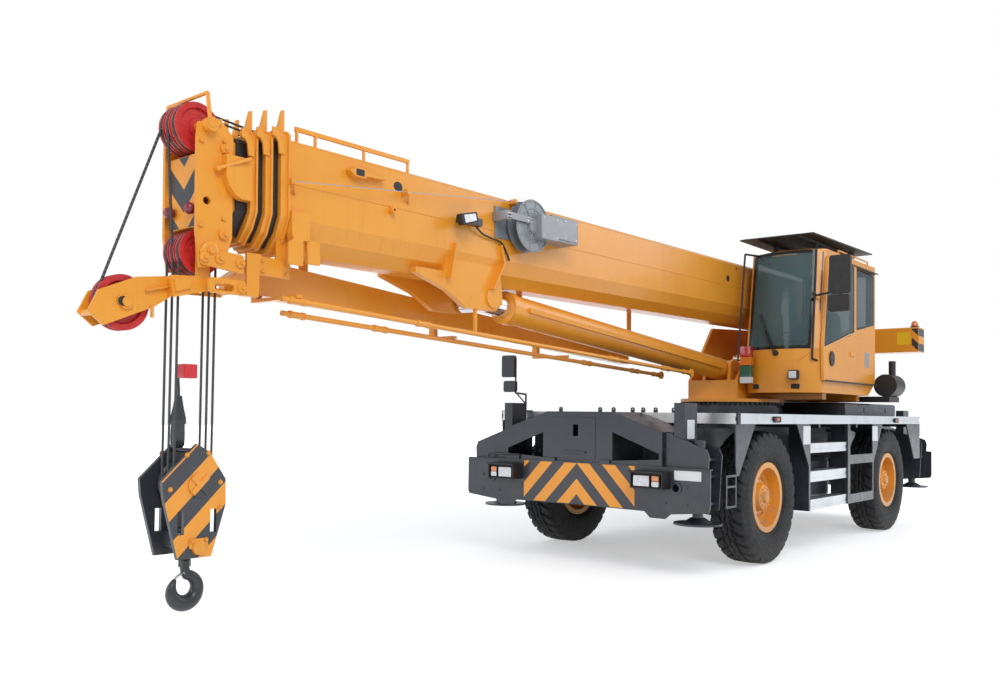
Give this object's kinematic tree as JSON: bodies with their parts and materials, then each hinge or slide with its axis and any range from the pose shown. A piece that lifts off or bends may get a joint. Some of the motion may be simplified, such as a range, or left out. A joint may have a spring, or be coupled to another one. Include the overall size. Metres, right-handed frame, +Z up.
{
  "type": "rough-terrain mobile crane",
  "caption": "Wheeled mobile crane with a turning cab and winch frame, a telescoping boom, a hook block on wire rope and sliding outriggers on a low deck.",
  "frame": {"origin": "on the ground, at the middle of the whole outline with the boom forward", "axes": "+X forward along the boom, +Y to the vehicle's left, +Z up"},
  "size_m": [12.1596, 3.151, 3.694],
  "materials": {
    "aluminium": "bare aluminium",
    "black": "black plastic",
    "chrome": "hard chrome",
    "dark": "satin dark slate paint",
    "grey": "grey paint",
    "orange": "gloss orange paint",
    "red": "red wheels",
    "steel": "plain steel",
    "tyre": "tyre rubber"
  },
  "bodies": {
    "carrier": {"chassis_frame": "dark", "deck": "dark", "deck_edging": "aluminium", "engine_hood": "dark", "engine": "dark", "slew_ring": "dark", "axles": "dark", "skirts": "dark", "steps": "aluminium", "tanks": "dark", "outrigger_boxes": "dark", "bumpers": "dark", "headlamps": "black"},
    "turret": {"turret_frame": "orange", "winches": "steel", "counterweight": "orange", "exhaust": "dark", "cab_shell": "orange", "cab_roof": "orange", "cab_rails": "black", "cab_seat": "black", "cab_console": "black", "cab_mirrors": "black", "sunshade": "black"},
    "cab_door": {"cab_door": "orange"},
    "boom": {"boom_base": "orange", "boom_fittings": "grey", "jib": "orange"},
    "section_2": {"boom_section_2": "orange"},
    "section_3": {"boom_section_3": "orange"},
    "boom_tip": {"boom_tip": "orange", "boom_head": "orange", "head_sheaves": "red", "nose": "orange"},
    "lift_barrel": {"lift_barrel": "orange"},
    "lift_rod": {"lift_rod": "chrome"},
    "falls": {"hoist_ropes": "steel"},
    "hook_block": {"hook_block": "dark", "block_sheaves": "steel"},
    "hook": {"hook": "dark"},
    "front_left_knuckle": {"front_left_knuckle": "dark"},
    "front_left_wheel": {"front_left_tyre": "tyre", "front_left_rim": "orange"},
    "front_left_beam": {"front_left_beam": "dark"},
    "front_left_jack": {"front_left_jack": "dark"},
    "front_right_knuckle": {"front_right_knuckle": "dark"},
    "front_right_wheel": {"front_right_tyre": "tyre", "front_right_rim": "orange"},
    "front_right_beam": {"front_right_beam": "dark"},
    "front_right_jack": {"front_right_jack": "dark"},
    "rear_left_knuckle": {"rear_left_knuckle": "dark"},
    "rear_left_wheel": {"rear_left_tyre": "tyre", "rear_left_rim": "orange"},
    "rear_left_beam": {"rear_left_beam": "dark"},
    "rear_left_jack": {"rear_left_jack": "dark"},
    "rear_right_knuckle": {"rear_right_knuckle": "dark"},
    "rear_right_wheel": {"rear_right_tyre": "tyre", "rear_right_rim": "orange"},
    "rear_right_beam": {"rear_right_beam": "dark"},
    "rear_right_jack": {"rear_right_jack": "dark"}
  },
  "joints": [
    {"name": "slew", "type": "hinge", "parent": "carrier", "child": "turret", "pos_m": [-2.41419, -0.1125, 1.7], "axis": [0, 0, 1], "continuous": true},
    {"name": "cab_door_slide", "type": "slide", "parent": "turret", "child": "cab_door", "axis": [-1, 0, 0], "range_m": [0, 0.7]},
    {"name": "luff", "type": "hinge", "parent": "turret", "child": "boom", "pos_m": [-4.61419, -0.1125, 3.05], "axis": [0, -1, 0], "range_deg": [0, 78]},
    {"name": "telescope_1", "type": "slide", "parent": "boom", "child": "section_2", "axis": [0.9999, 0, -0.0115], "range_m": [0, 6.8]},
    {"name": "telescope_2", "type": "slide", "parent": "section_2", "child": "section_3", "axis": [0.9999, 0, -0.0115], "range_m": [0, 6.8]},
    {"name": "telescope_3", "type": "slide", "parent": "section_3", "child": "boom_tip", "axis": [0.9999, 0, -0.0115], "range_m": [0, 6.8]},
    {"name": "lift_swing", "type": "hinge", "parent": "turret", "child": "lift_barrel", "pos_m": [-2.13419, -0.1125, 2.11], "axis": [0, -1, 0], "range_deg": [0, 88.45]},
    {"name": "lift_stroke", "type": "slide", "parent": "lift_barrel", "child": "lift_rod", "axis": [0.9964, 0, 0.0845], "range_m": [0, 3.1473]},
    {"name": "hook_plumb", "type": "hinge", "parent": "boom_tip", "child": "falls", "pos_m": [5.36836, -0.1125, 2.51998], "axis": [0, -1, 0], "range_deg": [-78, 0]},
    {"name": "hoist", "type": "slide", "parent": "falls", "child": "hook_block", "axis": [0, 0, 1], "range_m": [-0.2, 0.4], "deforming": ["hoist_ropes"]},
    {"name": "hook_swivel", "type": "hinge", "parent": "hook_block", "child": "hook", "pos_m": [5.36836, -0.1125, 0.585], "axis": [0, 0, 1], "continuous": true},
    {"name": "front_left_steer", "type": "hinge", "parent": "carrier", "child": "front_left_knuckle", "pos_m": [-0.46819, 0.7925, 0.685], "axis": [0, 0, 1], "range_deg": [-30, 30]},
    {"name": "front_left_roll", "type": "hinge", "parent": "front_left_knuckle", "child": "front_left_wheel", "pos_m": [-0.46819, 1.0775, 0.685], "axis": [0, 1, 0], "continuous": true},
    {"name": "front_left_outrigger", "type": "slide", "parent": "carrier", "child": "front_left_beam", "axis": [0, 1, 0], "range_m": [0, 1.75]},
    {"name": "front_left_jack_drop", "type": "slide", "parent": "front_left_beam", "child": "front_left_jack", "axis": [0, 0, -1], "range_m": [0, 0.6]},
    {"name": "front_right_steer", "type": "hinge", "parent": "carrier", "child": "front_right_knuckle", "pos_m": [-0.46819, -1.0175, 0.685], "axis": [0, 0, 1], "range_deg": [-30, 30]},
    {"name": "front_right_roll", "type": "hinge", "parent": "front_right_knuckle", "child": "front_right_wheel", "pos_m": [-0.46819, -1.3025, 0.685], "axis": [0, 1, 0], "continuous": true},
    {"name": "front_right_outrigger", "type": "slide", "parent": "carrier", "child": "front_right_beam", "axis": [0, -1, 0], "range_m": [0, 1.75]},
    {"name": "front_right_jack_drop", "type": "slide", "parent": "front_right_beam", "child": "front_right_jack", "axis": [0, 0, -1], "range_m": [0, 0.6]},
    {"name": "rear_left_steer", "type": "hinge", "parent": "carrier", "child": "rear_left_knuckle", "pos_m": [-4.36019, 0.7925, 0.685], "axis": [0, 0, 1], "range_deg": [-30, 30]},
    {"name": "rear_left_roll", "type": "hinge", "parent": "rear_left_knuckle", "child": "rear_left_wheel", "pos_m": [-4.36019, 1.0775, 0.685], "axis": [0, 1, 0], "continuous": true},
    {"name": "rear_left_outrigger", "type": "slide", "parent": "carrier", "child": "rear_left_beam", "axis": [0, 1, 0], "range_m": [0, 1.75]},
    {"name": "rear_left_jack_drop", "type": "slide", "parent": "rear_left_beam", "child": "rear_left_jack", "axis": [0, 0, -1], "range_m": [0, 0.6]},
    {"name": "rear_right_steer", "type": "hinge", "parent": "carrier", "child": "rear_right_knuckle", "pos_m": [-4.36019, -1.0175, 0.685], "axis": [0, 0, 1], "range_deg": [-30, 30]},
    {"name": "rear_right_roll", "type": "hinge", "parent": "rear_right_knuckle", "child": "rear_right_wheel", "pos_m": [-4.36019, -1.3025, 0.685], "axis": [0, 1, 0], "continuous": true},
    {"name": "rear_right_outrigger", "type": "slide", "parent": "carrier", "child": "rear_right_beam", "axis": [0, -1, 0], "range_m": [0, 1.75]},
    {"name": "rear_right_jack_drop", "type": "slide", "parent": "rear_right_beam", "child": "rear_right_jack", "axis": [0, 0, -1], "range_m": [0, 0.6]}
  ],
  "couplings": [
    {"joint": "telescope_2", "follows": "telescope_1", "ratio": 1},
    {"joint": "telescope_3", "follows": "telescope_1", "ratio": 1},
    {"joint": "lift_swing", "follows": "luff", "ratio": 1.1338},
    {"joint": "lift_stroke", "follows": "luff", "m_per_rad": 2.3112},
    {"joint": "hook_plumb", "follows": "luff", "ratio": -1},
    {"joint": "front_right_steer", "follows": "front_left_steer", "ratio": 1},
    {"joint": "rear_right_steer", "follows": "rear_left_steer", "ratio": 1}
  ]
}
